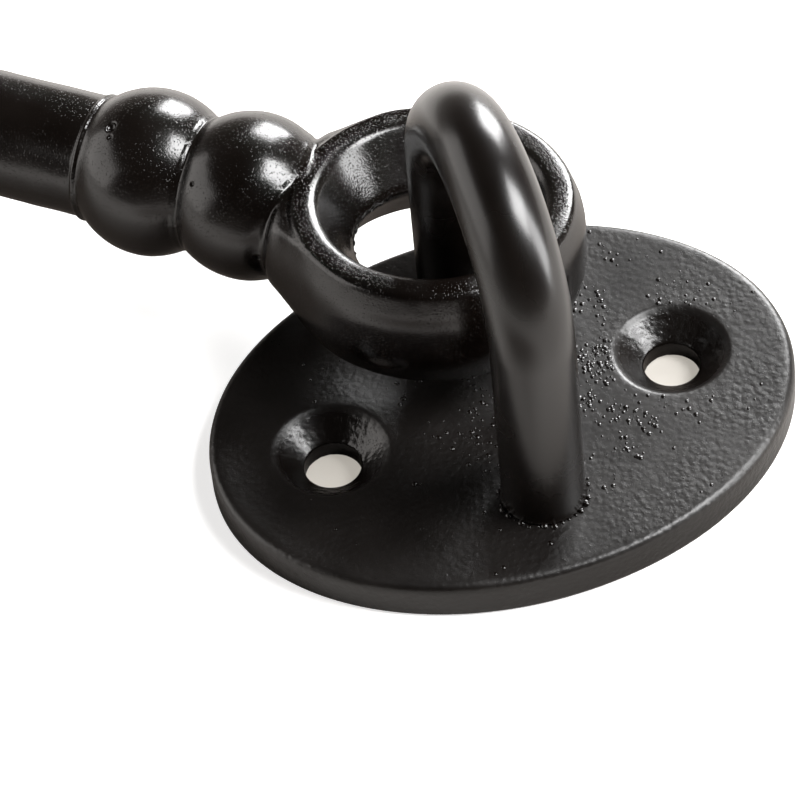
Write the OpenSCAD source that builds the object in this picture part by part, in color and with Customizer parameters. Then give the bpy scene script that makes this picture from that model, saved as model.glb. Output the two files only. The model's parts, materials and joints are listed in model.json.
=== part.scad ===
// Cabin hook with two plates on staples.
// A cast bar carries a ring eye at one end and a tapered hook at the other.
// The ring hangs on the staple of the pivot plate, and the hook goes through the staple of the keeper plate.
// Both plates lie with their backs on z = 0, and the bar runs along +X. All sizes are in millimetres.

/* [Plates] */
// Length of an oval plate, along its two screw holes
plate_l = 43.4; // [38:0.2:60]
// Width of an oval plate, along the legs of its staple
plate_w = 33.2; // [30:0.2:50]
// Thickness of a plate
plate_t = 3.1; // [2.6:0.1:5]
// Rounding of a plate's upper edge
plate_top_r = 0.7; // [0.4:0.1:1.5]
// Rounding of a plate's lower edge
plate_foot_r = 0.3; // [0.2:0.1:0.8]
// Distance between the two screw holes of a plate
screw_spacing = 26; // [22:0.5:32]
// Diameter of a screw hole
screw_d = 4.3; // [3:0.1:5.5]
// Diameter of a countersink at the plate's face
screw_head_d = 8.5; // [7:0.1:10]
// Depth of the countersink's cone
screw_head_depth = 1.7; // [1.2:0.1:2.4]

/* [Staples] */
// Diameter of the staple's round rod
rod_d = 6; // [4.5:0.1:7]
// Length of a leg's straight part above the plate
leg_h = 16; // [14:0.2:24]
// Width of the shoulder where a leg is turned down to its tenon
tenon_shoulder = 0.8; // [0.4:0.1:1.2]
// Spread of the tenon's riveted end beyond the tenon
peen_flare = 1; // [0.5:0.1:1.5]
// Depth of the riveted end's cone, flush with the plate's back
peen_depth = 1.2; // [0.6:0.1:1.8]
// Clearance round the tenon and its riveted end
tenon_gap = 0.05; // [0.02:0.01:0.1]

/* [Ring eye] */
// Diameter of the ring's bore at its throat, half way through
ring_throat_d = 11.6; // [10:0.2:13]
// Height of the throat's straight land
ring_land_h = 0.6; // [0.3:0.1:1.2]
// Flare of the bore from its throat out to each face
ring_flare = 2.6; // [1:0.1:4]
// Width of the ring's flat faces
ring_face_w = 1.9; // [1.2:0.1:3]
// Width of the bevel round each face
ring_bevel_w = 0.8; // [0.4:0.1:2]
// Height of the bevel round each face
ring_bevel_h = 2.3; // [0.8:0.1:2.8]
// Height of the upright band round the ring
ring_band_h = 3.9; // [2:0.1:6]
// Rounding of the ring's outer edges
ring_edge_r = 0.7; // [0.3:0.1:0.8]
// Rounding of the throat's edges
ring_throat_edge_r = 0.3; // [0.1:0.1:0.4]

/* [Bar] */
// Diameter of the plain bar
bar_d = 9.2; // [7:0.2:10.6]
// Diameter of a ball bead
bead_d = 12.5; // [11.2:0.1:13]
// Distance between the centres of two beads in a pair
bead_pitch = 7.8; // [6.6:0.1:9]
// Distance from the ring's outside to the first bead's centre
neck_l = 3.4; // [3.2:0.1:6]
// Step from a bead down to the round foot of the neck that joins it to the ring
neck_step = 1.1; // [0.6:0.05:2]
// Length of plain bar between the two inner beads, centre to centre
bar_l = 74; // [40:1:150]

/* [Hook] */
// Length from the last bead's centre to the start of the bend
shank_l = 22; // [20:1:40]
// Diameter of the hook through the bend
bend_d = 8.4; // [6.6:0.2:9]
// Diameter of the hook's round nose
tip_d = 4.6; // [3.6:0.2:5.6]
// Length of the hook from the end of the bend to its tip
tip_l = 20; // [14:0.5:26]
// Angle through which the hook is bent
bend_angle = 90; // [84:1:92]

/* [Lie of the parts] */
// Turn of the pivot plate's screw line away from the bar
pivot_turn = 40; // [30:1:50]
// Clearance between the ring's throat and the leg that it hangs on
ring_gap = 0.95; // [0.5:0.05:2]
// Direction in which the ring is drawn off that leg, from +X
ring_pull_angle = -8; // [-30:1:10]
// Clearance between the ring's outside and the other leg as it turns
swing_gap = 2.45; // [1:0.05:6]
// Clearance between the beads and the plate's face as the bar turns
bead_gap = 0.35; // [0.3:0.05:1]
// Roll of the whole bar about its own axis, hook side down
bar_roll = 5.6; // [0:0.2:6]
// Clearance between the hook's bend and the keeper's leg
hook_gap = 0.4; // [0.35:0.05:1]

/* [Hidden] */

$fn = 96;
long_arc_fn = 720;
oval_fn = 96;
edge_fn = 24;
corner_steps = 5;
paint = [0.055, 0.05, 0.048];
// Overlap of touching shapes, and overrun of cuts past a face
eps = 0.01;
cut = 1;

// A plate's oval
oval_a = plate_l / 2;
oval_b = plate_w / 2;

// The ring's section, from its throat outwards
rod_r = rod_d / 2;
ring_throat_r = ring_throat_d / 2;
ring_rim_r = ring_throat_r + ring_flare;
ring_face_r = ring_rim_r + ring_face_w;
ring_r = ring_face_r + ring_bevel_w;
ring_h = ring_band_h + 2 * ring_bevel_h;

// The ring is drawn off its leg until only its gap is left, and the other leg clears it all round
ring_play = ring_throat_r - rod_r - ring_gap;
leg_spacing = ring_r + ring_play + swing_gap + rod_r;
arch_r = leg_spacing / 2;
arch_z = plate_t + leg_h;
pivot_leg = arch_r * [sin(pivot_turn), -cos(pivot_turn)];
ring_centre = [
    pivot_leg.x + ring_play * cos(ring_pull_angle),
    pivot_leg.y + ring_play * sin(ring_pull_angle),
    plate_t + bead_gap + bead_d / 2
];

// A staple's tenon and its riveted end
tenon_d = rod_d - 2 * tenon_shoulder;
peen_d = tenon_d + 2 * peen_flare;

// Places along the bar, from the ring's centre
bead_first_x = ring_r + neck_l;
bead_second_x = bead_first_x + bead_pitch;
bead_third_x = bead_second_x + bar_l;
bead_last_x = bead_third_x + bead_pitch;
bend_x = bead_last_x + shank_l;
bend_r = rod_r + hook_gap + bend_d / 2;

// The neck's round foot stands where the first bead has the same radius, and runs on into the bead
neck_r = bead_d / 2 - neck_step;
neck_x = bead_first_x - sqrt((bead_d / 2) ^ 2 - neck_r ^ 2);
neck_root = (bead_first_x - neck_x) / 4;

// The hook's tip narrows along an arc that is tangent to its round nose
tip_nose_y = tip_l - tip_d / 2;
tip_arc_r = ((bend_d ^ 2 - tip_d ^ 2) / 4 + tip_nose_y ^ 2) / (bend_d - tip_d);
tip_join_y = tip_nose_y * tip_arc_r / (tip_arc_r - tip_d / 2);

// The keeper's near leg stands at the centre of the hook's bend
keeper_leg = [ring_centre.x + bend_x, ring_centre.y - bend_r * cos(bar_roll)];
keeper_centre = [keeper_leg.x + arch_r, keeper_leg.y, 0];

// A point turned about the origin
function turned(p, angle) = [
    p.x * cos(angle) - p.y * sin(angle),
    p.x * sin(angle) + p.y * cos(angle)
];

// Points of an arc that rounds a corner and is tangent to both its sides
function rounded_corner(before, corner, after, r) =
    let (
        to_before = (before - corner) / norm(before - corner),
        to_after = (after - corner) / norm(after - corner),
        half = acos(to_before * to_after) / 2,
        centre = corner + (to_before + to_after) / norm(to_before + to_after) * r / sin(half),
        first = corner + to_before * r / tan(half) - centre,
        last = corner + to_after * r / tan(half) - centre,
        sweep = (180 - 2 * half) * sign(cross(first, last))
    )
    [for (i = [0 : corner_steps]) centre + turned(first, sweep * i / corner_steps)];

// Half of a plate's section, with both edges rounded
module plate_section() {
    hull() {
        square([oval_b - plate_top_r, plate_t]);
        translate([oval_b - plate_top_r, plate_t - plate_top_r])
            circle(plate_top_r);
        translate([oval_b - plate_foot_r, plate_foot_r])
            circle(plate_foot_r);
    }
}

// Oval blank: a round disc with rounded edges, drawn out along X
module plate_blank() {
    hull()
        scale([oval_a / oval_b, 1, 1])
            rotate_extrude($fn = oval_fn)
                plate_section($fn = edge_fn);
}

// Screw hole with its countersink
module screw_hole() {
    translate([0, 0, -cut])
        cylinder(d = screw_d, h = plate_t + 2 * cut);
    translate([0, 0, plate_t - screw_head_depth])
        cylinder(d1 = screw_d, d2 = screw_head_d, h = screw_head_depth);
    translate([0, 0, plate_t - eps])
        cylinder(d = screw_head_d, h = cut);
}

// Hole for a staple's tenon, with a countersink at the back for its riveted end
module tenon_hole() {
    bore_d = tenon_d + 2 * tenon_gap;
    mouth_d = peen_d + 2 * tenon_gap;
    translate([0, 0, -cut])
        cylinder(d = bore_d, h = plate_t + 2 * cut);
    cylinder(d1 = mouth_d, d2 = bore_d, h = peen_depth);
    translate([0, 0, -cut])
        cylinder(d = mouth_d, h = cut + eps);
}

// Oval plate with two screw holes along X and two tenon holes along Y
module oval_plate() {
    difference() {
        plate_blank();
        for (side = [-1, 1]) {
            translate([side * screw_spacing / 2, 0, 0])
                screw_hole();
            translate([0, side * arch_r, 0])
                tenon_hole();
        }
    }
}

// Leg with its shoulder on the plate, its tenon through the plate and its riveted end
module staple_leg() {
    translate([0, 0, plate_t])
        cylinder(d = rod_d, h = leg_h);
    cylinder(d = tenon_d, h = plate_t + eps);
    cylinder(d1 = peen_d, d2 = tenon_d, h = peen_depth);
}

// Round rod bent to an arch, with its two legs apart along Y
module staple() {
    for (side = [-1, 1])
        translate([0, side * arch_r, 0])
            staple_leg();
    translate([0, 0, arch_z])
        rotate([90, 0, 90])
            rotate_extrude(angle = 180)
                translate([arch_r, 0])
                    circle(d = rod_d);
}

// Solid disc of the ring's outside, with soft bevelled edges
module ring_disc() {
    half_h = ring_h / 2;
    half_band = ring_band_h / 2;
    face = [ring_face_r, half_h];
    crest = [ring_r, half_band];
    low_crest = [ring_r, -half_band];
    low_face = [ring_face_r, -half_h];
    rotate_extrude()
        polygon(concat(
            [[0, half_h]],
            rounded_corner([0, half_h], face, crest, ring_edge_r),
            rounded_corner(face, crest, low_crest, ring_edge_r),
            rounded_corner(crest, low_crest, low_face, ring_edge_r),
            rounded_corner(low_crest, low_face, [0, -half_h], ring_edge_r),
            [[0, -half_h]]
        ));
}

// Bore that flares from a short land at its throat out past both faces
module ring_bore() {
    half_land = ring_land_h / 2;
    mouth_z = ring_h / 2 + cut;
    mouth_r = ring_throat_r + ring_flare * (mouth_z - half_land) / (ring_h / 2 - half_land);
    mouth = [mouth_r, mouth_z];
    throat = [ring_throat_r, half_land];
    low_throat = [ring_throat_r, -half_land];
    low_mouth = [mouth_r, -mouth_z];
    rotate_extrude()
        polygon(concat(
            [[0, mouth_z], mouth],
            rounded_corner(mouth, throat, low_throat, ring_throat_edge_r),
            rounded_corner(throat, low_throat, low_mouth, ring_throat_edge_r),
            [low_mouth, [0, -mouth_z]]
        ));
}

// Ring eye whose faces, bevels and band are all drawn in to the round foot of its neck
module ring_eye() {
    difference() {
        hull() {
            ring_disc();
            translate([neck_x, 0, 0])
                rotate([0, 90, 0])
                    cylinder(r = neck_r, h = neck_root);
        }
        ring_bore();
    }
}

// Turned length of the bar: a pair of beads at each end of the plain round, then the tapered shank
module turned_bar() {
    rotate([0, 90, 0])
        rotate_extrude()
            intersection() {
                union() {
                    for (x = [bead_first_x, bead_second_x, bead_third_x, bead_last_x])
                        translate([0, x])
                            circle(d = bead_d);
                    translate([0, bead_first_x])
                        square([bar_d / 2, bead_last_x - bead_first_x]);
                    polygon([
                        [0, bead_last_x],
                        [bar_d / 2, bead_last_x],
                        [bend_d / 2, bend_x],
                        [0, bend_x]
                    ]);
                }
                square([bead_d, bend_x]);
            }
}

// Tip of the hook, turned about its own axis: a long arc that runs into a round nose
module hook_tip() {
    rotate_extrude() {
        intersection() {
            translate([bend_d / 2 - tip_arc_r, 0])
                circle(tip_arc_r, $fn = long_arc_fn);
            square([bend_d, tip_join_y]);
        }
        intersection() {
            translate([0, tip_nose_y])
                circle(d = tip_d);
            translate([0, tip_join_y - eps])
                square([tip_d, tip_l]);
        }
    }
}

// Round bend and tip of the hook
module hook() {
    translate([bend_x, -bend_r, 0])
        rotate(90 - bend_angle) {
            rotate_extrude(angle = bend_angle)
                translate([bend_r, 0])
                    circle(d = bend_d);
            translate([bend_r, 0, 0])
                rotate([90, 0, 0])
                    hook_tip();
        }
}

// Plate that the bar hangs from
module pivot_plate() {
    color(paint)
        rotate(pivot_turn)
            oval_plate();
}

// Staple that the ring eye is threaded on
module pivot_staple() {
    color(paint)
        rotate(pivot_turn)
            staple();
}

// One casting: ring eye, neck, beads, bar and hook
module hook_bar() {
    color(paint)
        translate(ring_centre)
            rotate([bar_roll, 0, 0]) {
                ring_eye();
                turned_bar();
                hook();
            }
}

// Plate of the keeper
module keeper_plate() {
    color(paint)
        translate(keeper_centre)
            rotate(90)
                oval_plate();
}

// Staple that the hook goes through
module keeper_staple() {
    color(paint)
        translate(keeper_centre)
            rotate(90)
                staple();
}

pivot_plate();
pivot_staple();
hook_bar();
keeper_plate();
keeper_staple();
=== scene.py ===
# %% [markdown]
# # A black cabin hook
# A cabin hook holds a door or a gate. A cast bar hangs by its ring eye on a staple, and the hook at its
# other end drops through the staple of a second plate. Everything is cast or bent iron under one black coat.
# With a single colour all over, the looks come from three things: soft castings with no hard edge,
# the grain of the coat, and large lamps for it to mirror. The cells below build them in that order.

# %% Load the frame
import json
import math
from functools import partial

import bmesh
import bpy
import numpy as np
from mathutils import Matrix, Vector, noise


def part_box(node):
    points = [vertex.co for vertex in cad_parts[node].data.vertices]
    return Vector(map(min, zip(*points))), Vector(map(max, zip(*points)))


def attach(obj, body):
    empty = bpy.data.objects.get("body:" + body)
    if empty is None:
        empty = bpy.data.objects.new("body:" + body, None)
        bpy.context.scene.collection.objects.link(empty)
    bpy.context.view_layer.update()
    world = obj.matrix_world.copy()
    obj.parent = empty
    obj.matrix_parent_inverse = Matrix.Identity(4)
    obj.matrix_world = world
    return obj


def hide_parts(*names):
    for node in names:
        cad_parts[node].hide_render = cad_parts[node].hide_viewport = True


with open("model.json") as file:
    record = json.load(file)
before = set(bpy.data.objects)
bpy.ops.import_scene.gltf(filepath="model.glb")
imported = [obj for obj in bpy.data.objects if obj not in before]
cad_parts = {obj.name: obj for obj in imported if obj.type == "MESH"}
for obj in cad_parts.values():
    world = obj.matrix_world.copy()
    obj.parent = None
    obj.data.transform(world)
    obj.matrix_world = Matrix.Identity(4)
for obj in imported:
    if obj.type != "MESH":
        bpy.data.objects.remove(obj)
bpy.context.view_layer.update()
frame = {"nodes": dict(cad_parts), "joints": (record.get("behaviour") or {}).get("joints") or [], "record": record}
MM = 0.001

# %% [markdown]
# ## Sizes
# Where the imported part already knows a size, it is read from there: the screw holes from the mounts,
# the swing's axis from the joint, thickness and height from the boxes. The rest is written in millimetres,
# in the frame of the piece itself, because that is how a maker would measure it.

# %% Sizes of the plates and staples
mounts = {mount["name"]: mount for mount in frame["record"]["mounts"]}
PIVOT_CENTRE = Vector(mounts["pivot_screws"]["pos_m"])
KEEPER_CENTRE = Vector(mounts["keeper_screws"]["pos_m"])
PIVOT_TURN = math.radians(40)
KEEPER_TURN = math.radians(90)
SCREW_R = mounts["pivot_screws"]["dims"]["hole_r_mm"]
SCREW_X = mounts["pivot_screws"]["dims"]["pcd_mm"] / 2
SCREW_HEAD_R = 4.25
SCREW_HEAD_DEPTH = 1.7
PLATE_HALF_L = 21.7
PLATE_HALF_W = 16.6
PLATE_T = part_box("pivot_plate")[1].z / MM
ROD_R = 3.0
STAPLE_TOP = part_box("pivot_staple")[1].z / MM
pivot_leg = Vector(frame["joints"][0]["pos_m"])
ARCH_R = (pivot_leg.xy - PIVOT_CENTRE.xy).length / MM
ARCH_Z = STAPLE_TOP - ROD_R - ARCH_R
TENON_R = 2.2
PEEN_R = 3.2
PEEN_DEPTH = 1.2
print("plate thickness", round(PLATE_T, 2), "arch radius", round(ARCH_R, 2), "arch centre", round(ARCH_Z, 2))

# %% Sizes of the hook casting
RING_CENTRE = Vector((7.746, -7.305, 9.7))
BAR_ROLL = math.radians(5.6)
THROAT_R = 5.8
RIM_R = 8.4
FACE_R = 10.3
RING_R = 11.1
FACE_Z = 4.25
BAND_Z = 1.95
LAND_Z = 0.3
BEAD_R = 6.25
BEADS_X = (14.5, 22.3, 96.3, 104.1)
BAR_R = 4.6
NECK_R = 5.45
NECK_WIDE_R = 5.75
NECK_WIDE_X = 11.05
BEND_X = 126.1
BEND_R = 7.6
HOOK_R = 4.2
TIP_R = 2.3
TIP_L = 20.0
print("ring", 2 * RING_R, "mm across, bar", 2 * BAR_R, "mm thick, balls at", BEADS_X)

# %% [markdown]
# ## Camera
# The camera looks down on the pivot plate from behind the bar's free side with a long lens, so the plate's
# oval stays close to a true ellipse. Its place is given as two angles, a roll and a distance.

# %% Camera
VIEW_AZIMUTH = math.radians(-153.25)
VIEW_ELEVATION = math.radians(49.6)
VIEW_ROLL = math.radians(-6.3)
VIEW_DISTANCE = 0.344
VIEW_OFFSET = (-0.007579, 0.001948)
LENS_MM = 212.85

back = Vector((
    math.sin(VIEW_AZIMUTH) * math.cos(VIEW_ELEVATION),
    -math.cos(VIEW_AZIMUTH) * math.cos(VIEW_ELEVATION),
    math.sin(VIEW_ELEVATION),
))
level = Vector((math.cos(VIEW_AZIMUTH), math.sin(VIEW_AZIMUTH), 0))
upward = back.cross(level)
view_right = math.cos(VIEW_ROLL) * level + math.sin(VIEW_ROLL) * upward
view_up = math.cos(VIEW_ROLL) * upward - math.sin(VIEW_ROLL) * level
camera = bpy.data.objects.new("camera", bpy.data.cameras.new("camera"))
camera.data.lens = LENS_MM
camera.data.sensor_width = 36
camera.data.clip_start = 0.01
camera.data.clip_end = 20
place = back * VIEW_DISTANCE + view_right * VIEW_OFFSET[0] + view_up * VIEW_OFFSET[1]
turn = Matrix((view_right, view_up, back)).transposed().to_4x4()
camera.matrix_world = Matrix.Translation(place) @ turn
bpy.context.scene.collection.objects.link(camera)
bpy.context.scene.camera = camera
print("camera at", [round(v, 3) for v in place])

# %% [markdown]
# ## Wiring helpers
# Every material and every Geometry Nodes tree is wired in code. One helper makes a node, sets its options
# and either plugs a socket into an input or writes a plain value there. The others build on it: arithmetic,
# steps with vectors, ranges, blends of two colours, and new trees with named sockets.

# %% Wiring helpers
def add_node(tree, kind, inputs=None, **options):
    """A new node with its options set and its inputs plugged or filled."""
    made = tree.nodes.new(kind)
    for name, value in options.items():
        setattr(made, name, value)
    for key, value in (inputs or {}).items():
        if isinstance(value, bpy.types.NodeSocket):
            tree.links.new(value, made.inputs[key])
        else:
            made.inputs[key].default_value = value
    return made


def arithmetic(tree, operation, first, second=0.0, third=0.0):
    """The output of a Math node, whichever kind of tree it is in."""
    inputs = {0: first, 1: second, 2: third}
    return add_node(tree, "ShaderNodeMath", inputs, operation=operation).outputs[0]


def vector_step(tree, operation, first, second=(0, 0, 0)):
    """The outputs of a Vector Math node: a vector first, and a value for lengths and products."""
    return add_node(tree, "ShaderNodeVectorMath", {0: first, 1: second}, operation=operation).outputs


def remap(tree, value, low, high, to_low, to_high):
    """A value taken from one range to another, and held inside it."""
    inputs = {"Value": value, "From Min": low, "From Max": high, "To Min": to_low, "To Max": to_high}
    return add_node(tree, "ShaderNodeMapRange", inputs, clamp=True).outputs["Result"]


def blend(tree, share, low, high):
    """A colour between two others."""
    return add_node(tree, "ShaderNodeMix", {0: share, 6: low, 7: high}, data_type="RGBA").outputs[2]


# %% Trees with named sockets
VALUE = "NodeSocketFloat"
COUNT = "NodeSocketInt"
VECTOR = "NodeSocketVector"
COLOUR = "NodeSocketColor"
MATERIAL = "NodeSocketMaterial"
GEOMETRY = "NodeSocketGeometry"


def new_tree(name, tree_kind, inputs, outputs):
    """An empty node tree with named sockets; returns it with the sockets at its two ends."""
    tree = bpy.data.node_groups.new(name, tree_kind)
    for label, kind, value in inputs:
        socket = tree.interface.new_socket(label, in_out="INPUT", socket_type=kind)
        if value is not None:
            socket.default_value = value
    for label, kind in outputs:
        tree.interface.new_socket(label, in_out="OUTPUT", socket_type=kind)
    start = tree.nodes.new("NodeGroupInput").outputs
    end = tree.nodes.new("NodeGroupOutput").inputs
    return tree, start, end


# %% [markdown]
# ## The studio
# Black gloss shows only what surrounds it, so each lamp is placed by what it paints on the iron. A window low
# behind the hook and a square one high on the right make the bright spots on the balls, a slim one low on
# the right lights the rims, and a wide, weak one at the left front gives the grey flanks. The floor is white
# paper. To the eye it is lifted by a glow until its shadows are faint, and the paper under the plates, seen
# through the screw holes, is painted in shade. In reflections the paper carries a painted shadow under the bar
# and painted shade towards the camera. The room is dim for reflections and pale for the eye.

# %% Tones of the paper
OPEN_PAPER = (0.74, 0.735, 0.725, 1)
OPEN_GLOW = (0.64, 0.64, 0.64, 1)
# Painted shade: the paper under the plates, seen through the screw holes, is darker and glows less.
COVERED_PAPER_PAINTED_SHADE = (0.30, 0.285, 0.265, 1)
COVERED_GLOW_PAINTED_SHADE = (0.40, 0.375, 0.335, 1)
OVAL_EDGE = (0.9, 1.0)
# Painted shadow and shade in reflections: the paper the coat mirrors is dark under the bar and towards the camera.
MIRRORED_PAINTED_SHADOW = (0.15, 0.13, 0.115, 1)
MIRRORED_PALE = (0.70, 0.67, 0.64, 1)
SHADE_MIDDLE = (0.065, -0.0073, 0.0)
SHADE_HALF = (0.070, 0.008, 1.0)
SHADE_REACH = (0.003, 0.026)
CAMERA_SHADE = (-0.004, 0.060, 0.0)
CAMERA_SHADE_REACH = (0.018, 0.042)
CAMERA_SHADE_LEAST = 0.1


def unshaded_share(tree, where):
    """Zero where a plate covers the paper and shade is painted, and one elsewhere."""
    share = 1.0
    for centre, turn in ((PIVOT_CENTRE, PIVOT_TURN), (KEEPER_CENTRE, KEEPER_TURN)):
        in_oval = add_node(tree, "ShaderNodeMapping", {
            "Vector": where, "Location": centre, "Rotation": (0, 0, turn),
            "Scale": (PLATE_HALF_L * MM, PLATE_HALF_W * MM, 1)}, vector_type="TEXTURE")
        ratio = vector_step(tree, "LENGTH", in_oval.outputs[0])["Value"]
        share = arithmetic(tree, "MULTIPLY", remap(tree, ratio, *OVAL_EDGE, 0.0, 1.0), share)
    return share


def mirrored_tone_painted_shadow(tree, where):
    """The paper as the coat mirrors it, with a painted shadow under the bar and painted shade towards the camera.
    """
    beside = vector_step(tree, "ABSOLUTE", vector_step(tree, "SUBTRACT", where, SHADE_MIDDLE)[0])[0]
    past = vector_step(tree, "MAXIMUM", vector_step(tree, "SUBTRACT", beside, SHADE_HALF)[0])[0]
    from_bar = remap(tree, vector_step(tree, "LENGTH", past)["Value"], *SHADE_REACH, 0.0, 1.0)
    away = vector_step(tree, "DISTANCE", where, CAMERA_SHADE)["Value"]
    from_camera = remap(tree, away, *CAMERA_SHADE_REACH, CAMERA_SHADE_LEAST, 1.0)
    share = arithmetic(tree, "MULTIPLY", from_bar, from_camera)
    return blend(tree, share, MIRRORED_PAINTED_SHADOW, MIRRORED_PALE)


# %% Floor
FLOOR_HALF = 6.0
FLOOR_DROP = 0.00005


def make_floor():
    """A sheet of white paper just under the plates, with painted shade under them and in its reflections."""
    mesh = bpy.data.meshes.new("floor")
    square = ((-1, -1), (1, -1), (1, 1), (-1, 1))
    corners = [(x * FLOOR_HALF, y * FLOOR_HALF, -FLOOR_DROP) for x, y in square]
    mesh.from_pydata(corners, [], [(0, 1, 2, 3)])
    paper = bpy.data.materials.new("floor_paper")
    paper.use_nodes = True
    tree = paper.node_tree
    tree.nodes.clear()
    path = add_node(tree, "ShaderNodeLightPath")
    where = add_node(tree, "ShaderNodeTexCoord").outputs["Object"]
    unshaded_paper = unshaded_share(tree, where)
    # Painted shadow: the paper that reflections see is dark under the bar and towards the camera.
    mirrored = add_node(tree, "ShaderNodeBsdfDiffuse", {"Color": mirrored_tone_painted_shadow(tree, where)})
    # Painted shade: for the eye, the paper under the plates is darker and glows less.
    white = add_node(tree, "ShaderNodeBsdfDiffuse", {
        "Color": blend(tree, unshaded_paper, COVERED_PAPER_PAINTED_SHADE, OPEN_PAPER)})
    glow = add_node(tree, "ShaderNodeEmission", {
        "Color": blend(tree, unshaded_paper, COVERED_GLOW_PAINTED_SHADE, OPEN_GLOW), "Strength": 1.0})
    lifted = add_node(tree, "ShaderNodeAddShader", {0: white.outputs[0], 1: glow.outputs[0]})
    seen = add_node(tree, "ShaderNodeMixShader", {
        0: path.outputs["Is Camera Ray"], 1: mirrored.outputs[0], 2: lifted.outputs[0]})
    add_node(tree, "ShaderNodeOutputMaterial", {"Surface": seen.outputs[0]})
    mesh.materials.append(paper)
    floor = bpy.data.objects.new("floor", mesh)
    bpy.context.scene.collection.objects.link(floor)


make_floor()
print("floor", 2 * FLOOR_HALF, "m wide,", FLOOR_DROP / MM, "mm under the plates")

# %% Lamps
AIM = Vector((0.012, -0.004, 0.010))


def make_lamp(name, direction, distance, size, radiance, tint=(1, 1, 1)):
    """A flat lamp of the given width and height, facing the hook and hidden from the camera itself."""
    data = bpy.data.lights.new(name, "AREA")
    data.shape = "RECTANGLE"
    data.size, data.size_y = size
    data.energy = radiance * math.pi * size[0] * size[1]
    data.color = tint
    lamp = bpy.data.objects.new(name, data)
    way = Vector(direction).normalized()
    lamp.rotation_mode = "QUATERNION"
    lamp.location = AIM + way * distance
    lamp.rotation_quaternion = way.to_track_quat("Z", "Y")
    lamp.visible_camera = False
    bpy.context.scene.collection.objects.link(lamp)


make_lamp("lamp_behind", (0.03, -0.90, 0.41), 0.9, (0.34, 0.48), 25.0)
make_lamp("lamp_right", (-0.58, -0.18, 0.79), 0.8, (0.38, 0.38), 24.0)
make_lamp("lamp_right_low", (-0.90, -0.28, 0.34), 0.8, (0.28, 0.50), 13.0)
make_lamp("lamp_left", (0.88, 0.32, 0.34), 0.9, (1.1, 0.62), 2.2, (1.0, 0.96, 0.93))

# %% Room
ROOM_TINT = (1.0, 0.91, 0.84, 1)
SKIRTING_FADE = (0.05, 0.45)
DARK_SIDE = Vector((-0.40, 0.75, 0.53))
DARK_SIDE_FADE = (0.2, 0.8)
DARK_SIDE_LEAST = 0.5


def make_room(seen, low, high):
    """World light: pale to the eye; in reflections pale below, dim above and darker by the camera."""
    world = bpy.data.worlds.new("room")
    bpy.context.scene.world = world
    world.use_nodes = True
    tree = world.node_tree
    tree.nodes.clear()
    path = add_node(tree, "ShaderNodeLightPath")
    way = add_node(tree, "ShaderNodeTexCoord").outputs["Generated"]
    height = add_node(tree, "ShaderNodeSeparateXYZ", {0: way}).outputs["Z"]
    towards = vector_step(tree, "DOT_PRODUCT", way, DARK_SIDE)["Value"]
    dim = remap(tree, height, *SKIRTING_FADE, low, high)
    side = remap(tree, towards, *DARK_SIDE_FADE, 1.0, DARK_SIDE_LEAST)
    strength = arithmetic(tree, "MULTIPLY", dim, side)
    dim_light = add_node(tree, "ShaderNodeBackground", {"Color": ROOM_TINT, "Strength": strength})
    pale_light = add_node(tree, "ShaderNodeBackground", {"Color": (1, 1, 1, 1), "Strength": seen})
    mix = add_node(tree, "ShaderNodeMixShader", {
        0: path.outputs["Is Camera Ray"], 1: dim_light.outputs[0], 2: pale_light.outputs[0]})
    add_node(tree, "ShaderNodeOutputWorld", {"Surface": mix.outputs[0]})


make_room(seen=1.0, low=0.40, high=0.07)
bpy.context.scene.view_settings.view_transform = "Standard"
print("world:", bpy.context.scene.world.name)

# %% [markdown]
# ## The coat
# Black stoving paint over iron is never flat. Its skin has a fine noise, pebbles and a few pointed specks,
# all deeper in some patches than in others, and its gloss drifts a little from place to place. The casting,
# the plates and the rod share these effects, so each effect is a node group, and each finish only sets its
# own values. Where a piece carries an attribute named coarse, the skin is bumpier and shinier.

# %% Group: coat grain
SPECK_SCALE = 8000.0
SPECK_RANGE = (0.67, 0.82)
PATCH_RANGE = (0.36, 0.62)
FINE_SHARE = 0.8


def make_grain_group():
    """Grain of the coat: fine noise, pebbles and sparse pointed specks, all deeper in patches."""
    group, start, end = new_tree(
        "coat_grain", "ShaderNodeTree",
        [("Vector", VECTOR, None), ("Grain Scale", VALUE, 3000.0), ("Patch Scale", VALUE, 120.0),
         ("Patch Low", VALUE, 0.3), ("Pebbles", VALUE, 1.0), ("Specks", VALUE, 1.0), ("Depth", VALUE, 1.0)],
        [("Height", VALUE)])
    where = start["Vector"]
    scale = start["Grain Scale"]
    fine = add_node(group, "ShaderNodeTexNoise", {
        "Vector": where, "Scale": scale, "Detail": 2.0, "Roughness": 0.55})
    pebble = add_node(group, "ShaderNodeTexVoronoi", {
        "Vector": where, "Scale": scale, "Smoothness": 0.6}, feature="SMOOTH_F1")
    patch_noise = add_node(group, "ShaderNodeTexNoise", {
        "Vector": where, "Scale": start["Patch Scale"], "Detail": 1.0})
    patch = remap(group, patch_noise.outputs["Fac"], *PATCH_RANGE, start["Patch Low"], 1.0)
    speck_noise = add_node(group, "ShaderNodeTexNoise", {
        "Vector": where, "Scale": SPECK_SCALE, "Detail": 0.0})
    specks = remap(group, speck_noise.outputs["Fac"], *SPECK_RANGE, 0.0, start["Specks"])
    raised = arithmetic(group, "SUBTRACT", 1.0, pebble.outputs["Distance"])
    pebbled = arithmetic(group, "MULTIPLY_ADD", raised, start["Pebbles"], specks)
    both = arithmetic(group, "MULTIPLY_ADD", fine.outputs["Fac"], FINE_SHARE, pebbled)
    patchy = arithmetic(group, "MULTIPLY", both, patch)
    group.links.new(arithmetic(group, "MULTIPLY", patchy, start["Depth"]), end["Height"])
    return group


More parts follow.
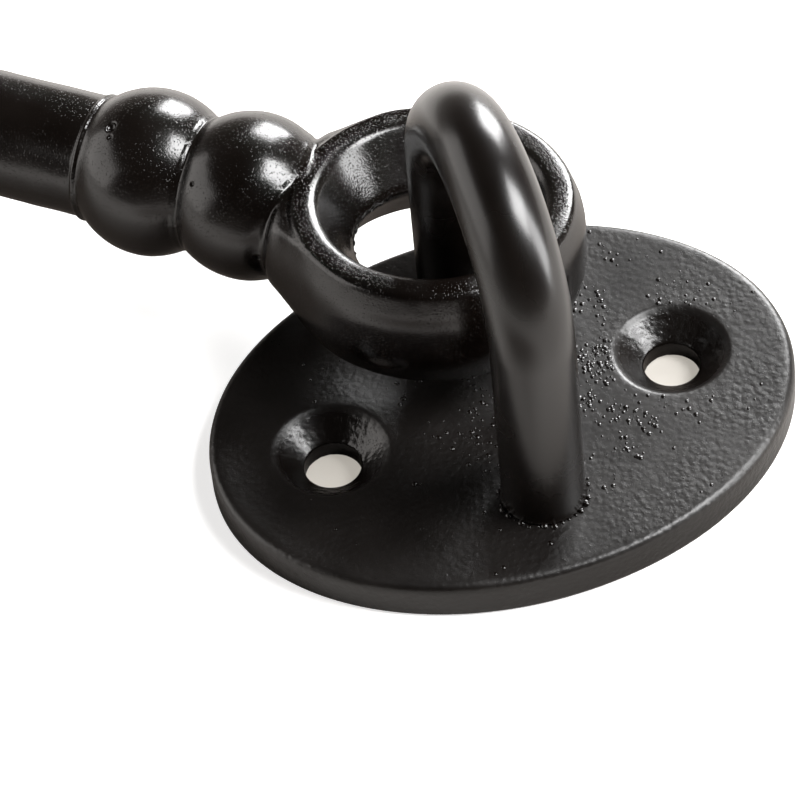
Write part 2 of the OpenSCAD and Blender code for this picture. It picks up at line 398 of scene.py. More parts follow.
grain_group = make_grain_group()
print("grain:", len(grain_group.nodes), "nodes")

# %% Group: coat gloss
DEEP_COLOUR = (0.0016, 0.0009, 0.0006, 1)
WORN_COLOUR = (0.0034, 0.0022, 0.0016, 1)
DRIFT_RANGE = (0.32, 0.68)


def make_gloss_group():
    """Colour and roughness of the coat, both drifting slowly over the surface."""
    group, start, end = new_tree(
        "coat_gloss", "ShaderNodeTree",
        [("Vector", VECTOR, None), ("Drift Scale", VALUE, 150.0), ("Deep Colour", COLOUR, DEEP_COLOUR),
         ("Worn Colour", COLOUR, WORN_COLOUR), ("Gloss Roughness", VALUE, 0.25),
         ("Dull Roughness", VALUE, 0.38)],
        [("Colour", COLOUR), ("Roughness", VALUE)])
    drift = add_node(group, "ShaderNodeTexNoise", {
        "Vector": start["Vector"], "Scale": start["Drift Scale"], "Detail": 3.0})
    share = remap(group, drift.outputs["Fac"], *DRIFT_RANGE, 0.0, 1.0)
    colour = blend(group, share, start["Deep Colour"], start["Worn Colour"])
    roughness = remap(group, share, 0.0, 1.0, start["Gloss Roughness"], start["Dull Roughness"])
    group.links.new(colour, end["Colour"])
    group.links.new(roughness, end["Roughness"])
    return group


gloss_group = make_gloss_group()
print("gloss:", len(gloss_group.nodes), "nodes")

# %% Finishes
COARSE_SHEEN = 0.35


def make_coat(name, grain_mm, grain_depth_mm, pebbles, specks, patch_mm, patch_low, gloss, dull, coarser):
    """A black coat: drifting gloss from one group, and grain from the other as bump."""
    coat = bpy.data.materials.new(name)
    coat.use_nodes = True
    tree = coat.node_tree
    shader = tree.nodes["Principled BSDF"]
    where = add_node(tree, "ShaderNodeTexCoord").outputs["Object"]
    coarse = add_node(tree, "ShaderNodeAttribute", attribute_name="coarse").outputs["Fac"]
    finish = add_node(tree, "ShaderNodeGroup", {
        "Vector": where, "Gloss Roughness": gloss, "Dull Roughness": dull}, node_tree=gloss_group)
    grain = add_node(tree, "ShaderNodeGroup", {
        "Vector": where, "Grain Scale": 1 / (grain_mm * MM), "Patch Scale": 1 / (patch_mm * MM),
        "Patch Low": patch_low, "Pebbles": pebbles, "Specks": specks,
        "Depth": arithmetic(tree, "MULTIPLY_ADD", coarse, coarser, 1.0)}, node_tree=grain_group)
    bump = add_node(tree, "ShaderNodeBump", {
        "Height": grain.outputs["Height"], "Strength": 1.0, "Distance": grain_depth_mm * MM})
    sheen = arithmetic(tree, "MULTIPLY_ADD", coarse, -COARSE_SHEEN, 1.0)
    roughness = arithmetic(tree, "MULTIPLY", finish.outputs["Roughness"], sheen)
    tree.links.new(finish.outputs["Colour"], shader.inputs["Base Color"])
    tree.links.new(roughness, shader.inputs["Roughness"])
    tree.links.new(bump.outputs["Normal"], shader.inputs["Normal"])
    return coat


plate_coat = make_coat(
    "plate_coat", grain_mm=0.44, grain_depth_mm=0.031, pebbles=1.0, specks=0.3,
    patch_mm=8.0, patch_low=0.35, gloss=0.34, dull=0.42, coarser=0.7)
staple_coat = make_coat(
    "staple_coat", grain_mm=0.30, grain_depth_mm=0.004, pebbles=0.3, specks=0.0,
    patch_mm=9.0, patch_low=0.4, gloss=0.23, dull=0.29, coarser=0.0)
bar_coat = make_coat(
    "bar_coat", grain_mm=0.16, grain_depth_mm=0.009, pebbles=0.4, specks=1.5,
    patch_mm=4.0, patch_low=0.4, gloss=0.16, dull=0.25, coarser=1.4)
print("finishes:", [coat.name for coat in (plate_coat, staple_coat, bar_coat)])

# %% [markdown]
# ## Soft castings from distances
# Iron that was poured into sand has no sharp edge: every corner is rounded and every joint runs out in a
# fillet. Bevels on a mesh with a ring, balls and a neck running into each other would fight. So the shape is
# written as a distance: negative inside the metal, zero on its skin. Two distances join with a rounded
# minimum and cut with a rounded maximum. A voxel copy of the CAD solid gives the first net of points,
# and each point then walks along the slope of the distance until it lies on the skin.

# %% Rounded joins and cuts
def cut_round(a, b, width):
    """The larger of two distances, with the corner between them rounded over about that width."""
    share = np.clip(0.5 + 0.5 * (a - b) / width, 0, 1)
    return a * share + b * (1 - share) + width * share * (1 - share)


def join_round(a, b, width):
    """The smaller of two distances, with a fillet of about that width where they meet."""
    return -cut_round(-a, -b, width)


def line_side(u, v, start, end):
    """Distance of the points (u, v) from the line through start and end, positive on its left."""
    run, rise = end[0] - start[0], end[1] - start[1]
    return (run * (v - start[1]) - rise * (u - start[0])) / np.hypot(run, rise)


print("a corner rounded over 1 mm is cut back by", cut_round(0.0, 0.0, 1.0), "mm")

# %% A net of points that settles on the skin
SLOPE_STEP = 0.002
SETTLE_ROUNDS = 6
LONGEST_MOVE = 0.4
FLATTEST = 0.1


def slope_of(distance, points):
    """Gradient of a distance at each point, by central differences."""
    slopes = []
    for axis in np.eye(3) * SLOPE_STEP:
        slopes.append((distance(points + axis) - distance(points - axis)) / (2 * SLOPE_STEP))
    return np.stack(slopes, axis=1)


def normals_on(distance, points):
    """Outward unit normals at points on the skin."""
    slope = slope_of(distance, points)
    return slope / np.linalg.norm(slope, axis=1)[:, None]


def settle(distance, points):
    """Points moved along the slope onto the skin."""
    for _ in range(SETTLE_ROUNDS):
        slope = slope_of(distance, points)
        steep = np.maximum((slope ** 2).sum(axis=1), FLATTEST)
        move = np.clip(distance(points) / steep, -LONGEST_MOVE, LONGEST_MOVE)
        points = points - move[:, None] * slope
    return points


def points_of(mesh):
    """All of a mesh's points as an array."""
    flat = np.empty(len(mesh.vertices) * 3)
    mesh.vertices.foreach_get("co", flat)
    return flat.reshape(-1, 3)


def put_points(mesh, points):
    """Writes an array of points back to a mesh."""
    mesh.vertices.foreach_set("co", points.astype(np.float32).ravel())
    mesh.update()


# %% From a CAD node to a fine net
WELD = 0.001


def voxel_net(node, to_local, voxel):
    """A net of triangles round a copy of a CAD node, in the piece's own millimetres."""
    mesh = frame["nodes"][node].data.copy()
    mesh.transform(to_local)
    work = bmesh.new()
    work.from_mesh(mesh)
    bmesh.ops.remove_doubles(work, verts=work.verts, dist=WELD)
    work.to_mesh(mesh)
    work.free()
    holder = bpy.data.objects.new(node + "_net", mesh)
    bpy.context.scene.collection.objects.link(holder)
    remesh = holder.modifiers.new("voxels", "REMESH")
    remesh.mode = "VOXEL"
    remesh.voxel_size = voxel
    depsgraph = bpy.context.evaluated_depsgraph_get()
    net = bpy.data.meshes.new_from_object(holder.evaluated_get(depsgraph))
    bpy.data.objects.remove(holder)
    return net


def refine(net, distance, turn_limit, shortest):
    """Splits the edges along which the skin turns by more than the limit, and settles the net again."""
    points = settle(distance, points_of(net))
    normals = normals_on(distance, points)
    put_points(net, points)
    work = bmesh.new()
    work.from_mesh(net)
    bmesh.ops.triangulate(work, faces=work.faces)
    limit = math.cos(turn_limit)
    bent = []
    for edge in work.edges:
        a, b = edge.verts
        if normals[a.index] @ normals[b.index] < limit and edge.calc_length() > shortest:
            bent.append(edge)
    bmesh.ops.subdivide_edges(work, edges=bent, cuts=1)
    bmesh.ops.triangulate(work, faces=work.faces)
    work.to_mesh(net)
    work.free()
    put_points(net, settle(distance, points_of(net)))


# %% From a net to a finished piece
SEED_STEPS = (17.3, 5.1, 9.7)


def waver(points, normals, sizes_and_depths, seed):
    """Points pushed in and out along their normals by soft noise, as sand leaves a casting."""
    offset = Vector([seed * step for step in SEED_STEPS])
    push = np.zeros(len(points))
    for size, depth in sizes_and_depths:
        push += depth * np.array([noise.noise(Vector(p) / size + offset) for p in points])
    return points + push[:, None] * normals


def cast_net(node, to_frame, distance, voxel, turn_limits, shortest, wavers, seed):
    """A fine, wavering net of one CAD node, and where its points lay before they wavered."""
    net = voxel_net(node, to_frame.inverted(), voxel)
    for turn_limit in turn_limits:
        refine(net, distance, math.radians(turn_limit), shortest)
    points = points_of(net)
    put_points(net, waver(points, normals_on(distance, points), wavers, seed))
    return net, points


def mark_coarse(net, share):
    """Stores where the skin is coarse, from 0 to 1, for the coat to read."""
    values = net.attributes.new("coarse", "FLOAT", "POINT").data
    values.foreach_set("value", share.astype(np.float32))


def finish_piece(name, net, to_frame, coat):
    """A net as a finished piece: smooth, coated, in metres and in its place."""
    net.name = name
    net.transform(to_frame)
    net.shade_smooth()
    net.materials.clear()
    net.materials.append(coat)
    piece = bpy.data.objects.new(name, net)
    bpy.context.scene.collection.objects.link(piece)
    print(name, "triangles:", sum(len(p.vertices) - 2 for p in net.polygons))
    return piece


# %% [markdown]
# ## The hook casting
# Ring eye, neck, four balls, bar and hook are one pour. The ring's section is an eight-sided bar with its
# corners rounded, and the bore flares from a throat in the middle to both faces. The neck carries the ring's
# section over into an oval, and stays wide until a groove just before the first ball. The balls, the bar and
# the shank are a turned shape, so one radius describes them. Thin raised seams lie in the grooves and round
# the throat, where the halves of the mould met, and a few blowholes are left in the balls.

# %% Distance of the ring eye and its neck
FACE_ROUND = 0.5
BAND_ROUND = 0.3
RIM_ROUND = 0.5
THROAT_ROUND = 0.3
SEAM_R = 0.17
SEAM_FILLET = 0.16
THROAT_SEAM_R = 0.7 * SEAM_R
THROAT_SEAM_SWING = 0.15
NECK_END_ROUND = 0.9


def disc_distance(x, y, z):
    """The ring's outside: a disc with bevelled, rounded edges."""
    radius = np.hypot(x, y)
    height = np.abs(z)
    bevel = line_side(radius, height, (FACE_R, FACE_Z), (RING_R, BAND_Z))
    shape = cut_round(height - FACE_Z, bevel, FACE_ROUND)
    return cut_round(shape, radius - RING_R, BAND_ROUND)


def neck_distance(x, y, z, foot_r, end_x):
    """The neck: the ring's own section, which draws in and turns into an oval where it meets the ball."""
    foot_x = BEADS_X[0] - math.sqrt(BEAD_R ** 2 - foot_r ** 2)
    angle = math.atan2(foot_r, foot_x) + math.acos(RING_R / math.hypot(foot_x, foot_r))
    start_x, start_y = RING_R * math.cos(angle), RING_R * math.sin(angle)
    face_y = math.sqrt(FACE_R ** 2 - start_x ** 2)
    share = np.clip((x - start_x) / (foot_x - start_x), 0, 1)
    half_w = start_y + share * (foot_r - start_y)
    side, height = np.abs(y) * start_y / half_w, np.abs(z)
    bevel = line_side(side, height, (face_y, FACE_Z), (start_y, BAND_Z))
    section = cut_round(height - FACE_Z, bevel, FACE_ROUND)
    section = cut_round(section, side - start_y, BAND_ROUND)
    oval = (np.hypot(y / half_w, z / FACE_Z) - 1) * FACE_Z
    shape = section + share ** 2 * (3 - 2 * share) * (oval - section)
    shape = cut_round(shape * math.sin(angle), x - end_x, NECK_END_ROUND)
    return np.maximum(shape, start_x - x)


def eye_distance(x, y, z):
    """Ring and neck with the flared bore cut through them, and a wrinkled seam round its throat."""
    radius = np.hypot(x, y)
    shape = np.minimum(disc_distance(x, y, z), neck_distance(x, y, z, NECK_R, BEADS_X[0]))
    shape = np.minimum(shape, neck_distance(x, y, z, NECK_WIDE_R, NECK_WIDE_X))
    flare = line_side(radius, np.abs(z), (THROAT_R, LAND_Z), (RIM_R, FACE_Z))
    shape = cut_round(shape, flare, RIM_ROUND)
    shape = cut_round(shape, THROAT_R - radius, THROAT_ROUND)
    angle = np.arctan2(y, x)
    wander = (np.sin(5 * angle + 0.6) + np.sin(9 * angle + 2.1) + np.sin(14 * angle + 4.0)) / 3
    seam = np.hypot(radius - THROAT_R, z - THROAT_SEAM_SWING * wander) - THROAT_SEAM_R
    return join_round(shape, seam, SEAM_FILLET)


# %% Distance of the turned bar
BALL_FILLET = 0.40
SEAM_SHIFT = 0.26
SEAM_LIFT = 0.06
SEAM_RISE = 0.08
PARTING_DEPTH = 0.04
PARTING_W = 0.10
PARTING_FADE = 0.5
ball_half_gap = (BEADS_X[1] - BEADS_X[0]) / 2
groove_r = math.sqrt(BEAD_R ** 2 - ball_half_gap ** 2)
bar_reach = math.sqrt(BEAD_R ** 2 - BAR_R ** 2)
GROOVES = (
    (BEADS_X[0] + ball_half_gap, groove_r),
    (BEADS_X[1] + bar_reach, BAR_R),
    (BEADS_X[2] - bar_reach, BAR_R),
    (BEADS_X[2] + ball_half_gap, groove_r),
    (BEADS_X[3] + bar_reach, BAR_R),
)

# Blowholes of the casting: places in the bar's frame, and radii
PIT_ROUND = 0.12
PITS = (
    ((24.35, 2.13, 5.51), 0.42),
    ((24.10, 2.89, 5.24), 0.16),
    ((11.42, 5.43, -0.32), 0.36),
    ((17.09, 4.16, 3.88), 0.18),
    ((102.0, -1.5, 5.70), 0.30),
    ((96.8, 5.10, -3.60), 0.26),
)


def turned_distance(x, y, z):
    """Balls, bar and tapered shank with the seam in each groove, the parting line and the blowholes."""
    radius = np.hypot(y, z)
    taper = np.interp(x, [BEADS_X[3], BEND_X], [BAR_R, HOOK_R])
    shape = np.maximum(radius - taper, np.maximum(BEADS_X[0] - x, x - BEND_X))
    for ball_x in BEADS_X:
        shape = join_round(shape, np.hypot(radius, x - ball_x) - BEAD_R, BALL_FILLET)
    for groove_x, groove_radius in GROOVES:
        seam = np.hypot(x - groove_x - SEAM_SHIFT, radius - groove_radius - SEAM_LIFT) - SEAM_R
        shape = join_round(shape, seam, SEAM_FILLET)
    for (pit_x, pit_y, pit_z), pit_r in PITS:
        pit = np.sqrt((x - pit_x) ** 2 + (y - pit_y) ** 2 + (z - pit_z) ** 2)
        shape = cut_round(shape, pit_r - pit, PIT_ROUND)
    on_ball = np.clip((radius - BAR_R) / PARTING_FADE, 0, 1)
    return shape - PARTING_DEPTH * on_ball * np.exp(-(z / PARTING_W) ** 2)


# %% Distance of the hook
tip_nose = TIP_L - TIP_R
tip_arc_r = (HOOK_R ** 2 - TIP_R ** 2 + tip_nose ** 2) / (2 * (HOOK_R - TIP_R))
tip_join = tip_nose * tip_arc_r / (tip_arc_r - TIP_R)
print("radius of the tip's arc, mm:", round(tip_arc_r, 1))


def hook_distance(x, y, z):
    """The round bend, then the tip that narrows along an arc to a round nose."""
    across, along = x - BEND_X, y + BEND_R
    bend = np.hypot(np.hypot(across, along) - BEND_R, z) - HOOK_R
    bend = np.maximum(bend, np.maximum(-across, -along))
    reach = -along
    radius = np.hypot(across - BEND_R, z)
    arc = np.hypot(radius - HOOK_R + tip_arc_r, np.maximum(reach, 0)) - tip_arc_r
    nose = np.hypot(radius, reach - tip_nose) - TIP_R
    tip = np.where(reach < tip_join, arc, nose)
    tip = np.maximum(tip, along)
    return np.minimum(bend, tip)


def casting_distance(points):
    """The whole casting."""
    x, y, z = points.T
    eye = eye_distance(x, y, z)
    bar = np.minimum(turned_distance(x, y, z), hook_distance(x, y, z))
    seam = SEAM_RISE * np.exp(-((eye - bar - SEAM_SHIFT) / SEAM_R) ** 2)
    return join_round(eye, bar, BALL_FILLET) - seam


# %% Make the hook casting
RIM_HALF = 0.4
RIM_FADE = 0.5
FACE_MARGIN = 0.2
FACE_FADE = 0.6
UPPER_MARGIN = 0.2
UPPER_FADE = 0.8

casting_to_frame = (
    Matrix.Scale(MM, 4) @ Matrix.Translation(RING_CENTRE) @ Matrix.Rotation(BAR_ROLL, 4, "X"))
hook_net, hook_points = cast_net(
    "hook_bar", casting_to_frame, casting_distance, voxel=0.45, turn_limits=(10, 12, 14), shortest=0.09,
    wavers=((5.0, 0.06), (1.6, 0.02)), seed=1)
from_eye = np.hypot(hook_points[:, 0], hook_points[:, 1])
off_rim = np.clip((np.abs(from_eye - RIM_R) - RIM_HALF) / RIM_FADE, 0, 1)
in_face = np.clip((FACE_R + FACE_MARGIN - from_eye) / FACE_FADE, 0, 1)
in_upper = np.clip(hook_points[:, 2] / UPPER_FADE + UPPER_MARGIN, 0, 1)
mark_coarse(hook_net, off_rim * in_face * in_upper)
hook_casting = finish_piece("hook_casting", hook_net, casting_to_frame, bar_coat)
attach(hook_casting, "hook")
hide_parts("hook_bar")

# %% [markdown]
# ## The oval plates
# A plate is a stamped oval with a soft upper edge, two countersunk screw holes on its long axis and two
# small holes for the legs of its staple, opened out at the back for riveting. The same net and the same
# rounded cuts give its edges the thickness of the paint.

# %% Distance of a plate
TOP_ROUND = 0.8
FOOT_ROUND = 0.35
HOLE_ROUND = 0.14
COAT_T = 0.1
TENON_GAP = 0.05
NEAR_ZERO = 1e-6


def plate_distance(points):
    """The oval plate with its holes, its screw line along X and its back on z = 0."""
    x, y, z = points.T
    ratio = np.hypot(x / PLATE_HALF_L, y / PLATE_HALF_W)
    steep = np.hypot(x / PLATE_HALF_L ** 2, y / PLATE_HALF_W ** 2)
    shape = ratio * (ratio - 1) / np.maximum(steep, NEAR_ZERO)
    shape = cut_round(shape, z - PLATE_T, TOP_ROUND)
    shape = cut_round(shape, -z, FOOT_ROUND)
    from_screw = np.hypot(np.abs(x) - SCREW_X, y)
    coated_r = SCREW_R - COAT_T
    sink_foot = (coated_r, PLATE_T - SCREW_HEAD_DEPTH)
    sink = line_side(from_screw, z, sink_foot, (SCREW_HEAD_R, PLATE_T))
    screw_hole = join_round(from_screw - coated_r, -sink, HOLE_ROUND)
    shape = cut_round(shape, -screw_hole, HOLE_ROUND)
    from_tenon = np.hypot(x, np.abs(y) - ARCH_R)
    spread = np.interp(z, [0, PEEN_DEPTH], [PEEN_R, TENON_R]) + TENON_GAP
    return np.maximum(shape, spread - from_tenon)


# %% Make the plates
SINK_MARGIN = 0.2
SINK_FADE = 0.3


def place_of(centre, turn):
    """From a plate's own millimetres to its place in the frame."""
    return Matrix.Translation(centre) @ Matrix.Rotation(turn, 4, "Z") @ Matrix.Scale(MM, 4)


def make_plate(name, node, centre, turn, seed):
    """One plate, settled on its own distance and put in its place."""
    to_frame = place_of(centre, turn)
    net, points = cast_net(
        node, to_frame, plate_distance, voxel=0.40, turn_limits=(14, 10), shortest=0.12,
        wavers=((8.0, 0.03), (2.2, 0.008)), seed=seed)
    from_screw = np.hypot(np.abs(points[:, 0]) - SCREW_X, points[:, 1])
    mark_coarse(net, np.clip((SCREW_HEAD_R - SINK_MARGIN - from_screw) / SINK_FADE, 0, 1))
    plate = finish_piece(name, net, to_frame, plate_coat)
    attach(plate, "plates")
    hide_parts(node)
    return plate


pivot_plate = make_plate("pivot_plate_coated", "pivot_plate", PIVOT_CENTRE, PIVOT_TURN, 2)
keeper_plate = make_plate("keeper_plate_coated", "keeper_plate", KEEPER_CENTRE, KEEPER_TURN, 3)

# %% [markdown]
# ## The staples
# A staple is round rod bent to an arch, and a rule gives its whole centre line: up one leg, round half a
# circle, down the other leg. That suits Geometry Nodes. A straight line of points is bent by arithmetic on
# the distance along the rod, each point carries a radius, and a circle is swept along it. The radius is the
# rod's, spreads in a little fillet of paint at the plate, and below it is that of the riveted tenon.

# %% The staple's rule
SHOULDER_SLACK = 0.02


def arch_line(tree, start):
    """How far to the side and how high a point of the rod lies, from its distance along the rod."""
    calc = partial(arithmetic, tree)
    leg = start["Arch Height"]
    round_l = calc("MULTIPLY", start["Arch Radius"], math.pi)
    whole = calc("MULTIPLY_ADD", leg, 2.0, round_l)
    index = add_node(tree, "GeometryNodeInputIndex").outputs[0]
    last = calc("SUBTRACT", start["Steps"], 1.0)
    travelled = calc("MULTIPLY", calc("DIVIDE", index, last), whole)
    past_leg = calc("SUBTRACT", travelled, leg)
    bent = calc("MINIMUM", calc("MAXIMUM", past_leg, 0.0), round_l)
    angle = calc("DIVIDE", bent, start["Arch Radius"])
    went_up = calc("MINIMUM", travelled, leg)
    came_down = calc("MAXIMUM", calc("SUBTRACT", past_leg, round_l), 0.0)
    side = calc("MULTIPLY", calc("COSINE", angle), start["Arch Radius"])
    rise = calc("MULTIPLY_ADD", calc("SINE", angle), start["Arch Radius"], went_up)
    return side, calc("SUBTRACT", rise, came_down)


def rod_radius(tree, start, height):
    """The rod's radius, with a fillet of paint at the plate and the riveted tenon below it."""
    calc = partial(arithmetic, tree)
    above = calc("SUBTRACT", height, start["Plate"])
    fall = calc("MULTIPLY", start["Fillet Height"], -1.0)
    fade = calc("EXPONENT", calc("DIVIDE", calc("MAXIMUM", above, 0.0), fall))
    rod = calc("MULTIPLY_ADD", fade, start["Fillet"], start["Rod Radius"])
    tenon = remap(tree, height, 0.0, start["Peen Depth"], start["Peen Radius"], start["Tenon Radius"])
    is_rod = calc("GREATER_THAN", above, -SHOULDER_SLACK)
    return calc("MULTIPLY_ADD", calc("SUBTRACT", rod, tenon), is_rod, tenon)


# %% Geometry Nodes: staple
def end_tree(tree, end, geometry, coat):
    """The last steps of every tree: instances made real, and the coat put on."""
    real = add_node(tree, "GeometryNodeRealizeInstances", {"Geometry": geometry})
    coated = add_node(tree, "GeometryNodeSetMaterial", {"Geometry": real.outputs[0], "Material": coat})
    tree.links.new(coated.outputs[0], end["Geometry"])


def make_staple_tree():
    """A tree that bends a line to an arch and sweeps a circle of changing radius along it."""
    tree, start, end = new_tree(
        "staple_rod", "GeometryNodeTree",
        [("Rod Radius", VALUE, ROD_R), ("Arch Radius", VALUE, ARCH_R), ("Arch Height", VALUE, ARCH_Z),
         ("Plate", VALUE, PLATE_T), ("Tenon Radius", VALUE, TENON_R), ("Peen Radius", VALUE, PEEN_R),
         ("Peen Depth", VALUE, PEEN_DEPTH), ("Fillet", VALUE, 0.18), ("Fillet Height", VALUE, 0.20),
         ("Steps", COUNT, 700), ("Sides", COUNT, 72), ("Coat", MATERIAL, None)],
        [("Geometry", GEOMETRY)])
    side, height = arch_line(tree, start)
    radius = rod_radius(tree, start, height)
    line = add_node(tree, "GeometryNodeMeshLine", {"Count": start["Steps"]})
    place = add_node(tree, "ShaderNodeCombineXYZ", {"Y": side, "Z": height})
    arch = add_node(tree, "GeometryNodeSetPosition", {
        "Geometry": line.outputs[0], "Position": place.outputs[0]})
    stored = add_node(
        tree, "GeometryNodeStoreNamedAttribute",
        {"Geometry": arch.outputs[0], "Name": "rod_radius", "Value": radius},
        data_type="FLOAT", domain="POINT")
    curve = add_node(tree, "GeometryNodeMeshToCurve", {"Mesh": stored.outputs[0]})
    named = add_node(tree, "GeometryNodeInputNamedAttribute", {"Name": "rod_radius"}, data_type="FLOAT")
    circle = add_node(tree, "GeometryNodeCurvePrimitiveCircle", {
        "Resolution": start["Sides"], "Radius": 1.0})
    swept = add_node(tree, "GeometryNodeCurveToMesh", {
        "Curve": curve.outputs[0], "Profile Curve": circle.outputs[0],
        "Scale": named.outputs["Attribute"], "Fill Caps": True})
    end_tree(tree, end, swept.outputs[0], start["Coat"])
    return tree


staple_tree = make_staple_tree()
print("staple tree:", len(staple_tree.nodes), "nodes")

# %% Make the staples
def grown(tree, settings, base=None):
    """The mesh that a Geometry Nodes tree makes, with the modifier gone again."""
    holder = bpy.data.objects.new("holder", base or bpy.data.meshes.new("holder"))
    bpy.context.scene.collection.objects.link(holder)
    modifier = holder.modifiers.new("nodes", "NODES")
    modifier.node_group = tree
    for item in tree.interface.items_tree:
        if item.item_type == "SOCKET" and item.in_out == "INPUT" and item.name in settings:
            modifier[item.identifier] = settings[item.name]
    depsgraph = bpy.context.evaluated_depsgraph_get()
    mesh = bpy.data.meshes.new_from_object(holder.evaluated_get(depsgraph))
    bpy.data.objects.remove(holder)
    return mesh


def make_staple(name, node, centre, turn):
    """One staple, swept in its own millimetres and put in its place."""
    mesh = grown(staple_tree, {"Coat": staple_coat})
    staple = finish_piece(name, mesh, place_of(centre, turn), staple_coat)
    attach(staple, "plates")
    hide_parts(node)


make_staple("pivot_staple_rod", "pivot_staple", PIVOT_CENTRE, PIVOT_TURN)
make_staple("keeper_staple_rod", "keeper_staple", KEEPER_CENTRE, KEEPER_TURN)

# %% [markdown]
# ## Nibs and drops in the paint
# Dust under the paint stands up as tiny nibs, thickest in the middle of the plate where the brush or the
# spray could not be wiped. Scattering is what Geometry Nodes do best: points on the flat top, more of them
# near the centre and in random clusters, a small flattened ball on each, with a fixed seed. Paint also
# gathers where the staple's legs meet the plate, so a loose ring of drops stands round each foot.

# %% Balls of paint
def set_balls(tree, start, end, points, power, squat, segments, rings):
    """Ends a tree with a flattened ball on each point, more of them small the higher the power."""
    chance = add_node(tree, "FunctionNodeRandomValue", {
        2: 0.0, 3: 1.0, "Seed": start["Seed"]}, data_type="FLOAT").outputs[1]
    span = arithmetic(tree, "SUBTRACT", start["Largest"], start["Smallest"])
    share = arithmetic(tree, "POWER", chance, power)
    size = arithmetic(tree, "MULTIPLY_ADD", share, span, start["Smallest"])
    scale = add_node(tree, "ShaderNodeVectorMath", {0: (1.0, 1.0, squat), "Scale": size}, operation="SCALE")
    ball = add_node(tree, "GeometryNodeMeshUVSphere", {
        "Segments": segments, "Rings": rings, "Radius": 1.0})
    balls = add_node(tree, "GeometryNodeInstanceOnPoints", {
        "Points": points, "Instance": ball.outputs[0], "Scale": scale.outputs[0]})
    end_tree(tree, end, balls.outputs[0], start["Coat"])


# %% Geometry Nodes: nibs
FLAT_ENOUGH = 0.985
NIB_REACH = (0.003, 0.014)
NIB_FAR_SHARE = 0.02
CLUSTER_SCALE = 260.0
CLUSTER_RANGE = (0.44, 0.66)


def make_nib_tree():
    """A tree that scatters small flattened balls on the flat top of a plate."""
    tree, start, end = new_tree(
        "paint_nibs", "GeometryNodeTree",
        [("Geometry", GEOMETRY, None), ("Per Square Metre", VALUE, 1.4e7), ("Smallest", VALUE, 0.00005),
         ("Largest", VALUE, 0.00024), ("Centre", VECTOR, None), ("Seed", COUNT, None),
         ("Coat", MATERIAL, None)],
        [("Geometry", GEOMETRY)])
    normal = add_node(tree, "GeometryNodeInputNormal").outputs[0]
    upright = add_node(tree, "ShaderNodeSeparateXYZ", {0: normal}).outputs["Z"]
    flat = arithmetic(tree, "GREATER_THAN", upright, FLAT_ENOUGH)
    where = add_node(tree, "GeometryNodeInputPosition").outputs[0]
    from_centre = vector_step(tree, "DISTANCE", where, start["Centre"])["Value"]
    near = remap(tree, from_centre, *NIB_REACH, 1.0, NIB_FAR_SHARE)
    clusters = add_node(tree, "ShaderNodeTexNoise", {
        "Vector": where, "Scale": CLUSTER_SCALE, "Detail": 1.0})
    clustered = remap(tree, clusters.outputs["Fac"], *CLUSTER_RANGE, 0.0, 1.0)
    share = arithmetic(tree, "MULTIPLY", near, clustered)
    density = arithmetic(tree, "MULTIPLY", share, start["Per Square Metre"])
    scatter = add_node(tree, "GeometryNodeDistributePointsOnFaces", {
        "Mesh": start["Geometry"], "Selection": flat, "Density": density, "Seed": start["Seed"]})
    set_balls(tree, start, end, scatter.outputs["Points"], power=1.8, squat=0.34, segments=8, rings=4)
    return tree


nib_tree = make_nib_tree()
print("nib tree:", len(nib_tree.nodes), "nodes")

# %% Make the nibs
NIB_SHIFT = Vector((-0.0025, -0.0055, 0))


def make_nibs(name, plate, centre, seed):
    """The nibs on one plate, as a piece of their own."""
    mesh = grown(nib_tree, {"Centre": centre, "Seed": seed, "Coat": bar_coat}, plate.data)
    nibs = finish_piece(name, mesh, Matrix.Identity(4), bar_coat)
    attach(nibs, "plates")


make_nibs("pivot_plate_nibs", pivot_plate, PIVOT_CENTRE + NIB_SHIFT, 4)
make_nibs("keeper_plate_nibs", keeper_plate, KEEPER_CENTRE + NIB_SHIFT, 9)

# %% Geometry Nodes: drops of paint at the staple's feet
DROP_GAP = 0.22


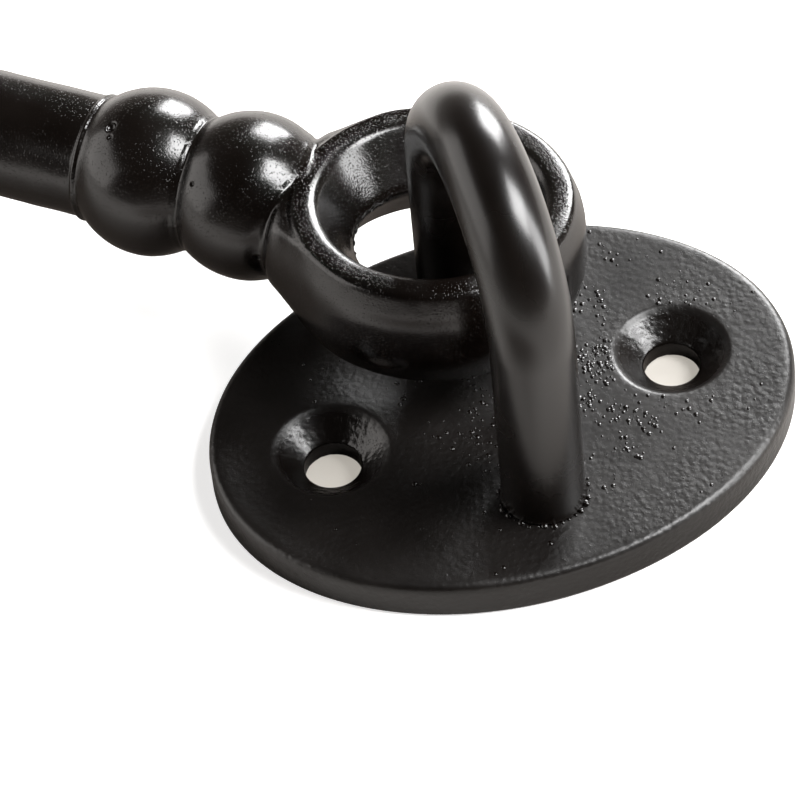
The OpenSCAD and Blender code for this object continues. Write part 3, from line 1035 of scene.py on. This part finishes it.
def make_drop_tree():
    """A tree that sets small drops in a loose ring round both feet of a staple."""
    tree, start, end = new_tree(
        "paint_drops", "GeometryNodeTree",
        [("Foot Spacing", VALUE, ARCH_R * 2), ("Height", VALUE, PLATE_T),
         ("Ring Radius", VALUE, ROD_R + DROP_GAP), ("Loose", VALUE, 0.10), ("Smallest", VALUE, 0.06),
         ("Largest", VALUE, 0.30), ("Drops", COUNT, 34), ("Seed", COUNT, 0), ("Coat", MATERIAL, None)],
        [("Geometry", GEOMETRY)])
    side = arithmetic(tree, "MULTIPLY", start["Foot Spacing"], -0.5)
    first = add_node(tree, "ShaderNodeCombineXYZ", {"Y": side, "Z": start["Height"]})
    step = add_node(tree, "ShaderNodeCombineXYZ", {"Y": start["Foot Spacing"]})
    feet = add_node(tree, "GeometryNodeMeshLine", {
        "Count": 2, "Start Location": first.outputs[0], "Offset": step.outputs[0]})
    hoop = add_node(tree, "GeometryNodeMeshCircle", {
        "Vertices": start["Drops"], "Radius": start["Ring Radius"]})
    hoops = add_node(tree, "GeometryNodeInstanceOnPoints", {
        "Points": feet.outputs[0], "Instance": hoop.outputs[0]})
    spots = add_node(tree, "GeometryNodeRealizeInstances", {"Geometry": hoops.outputs[0]})
    jitter = add_node(tree, "FunctionNodeRandomValue", {
        0: (-1.0, -1.0, 0.0), 1: (1.0, 1.0, 0.0), "Seed": start["Seed"]}, data_type="FLOAT_VECTOR")
    shift = add_node(tree, "ShaderNodeVectorMath", {
        0: jitter.outputs[0], "Scale": start["Loose"]}, operation="SCALE")
    loose = add_node(tree, "GeometryNodeSetPosition", {
        "Geometry": spots.outputs[0], "Offset": shift.outputs[0]})
    set_balls(tree, start, end, loose.outputs[0], power=2.0, squat=0.7, segments=10, rings=6)
    return tree


drop_tree = make_drop_tree()
print("drop tree:", len(drop_tree.nodes), "nodes")

# %% Make the drops
def make_drops(name, centre, turn, seed):
    """The drops round the feet of one staple, as a piece of their own."""
    mesh = grown(drop_tree, {"Seed": seed, "Coat": bar_coat})
    drops = finish_piece(name, mesh, place_of(centre, turn), bar_coat)
    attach(drops, "plates")


make_drops("pivot_plate_drops", PIVOT_CENTRE, PIVOT_TURN, 6)
make_drops("keeper_plate_drops", KEEPER_CENTRE, KEEPER_TURN, 11)
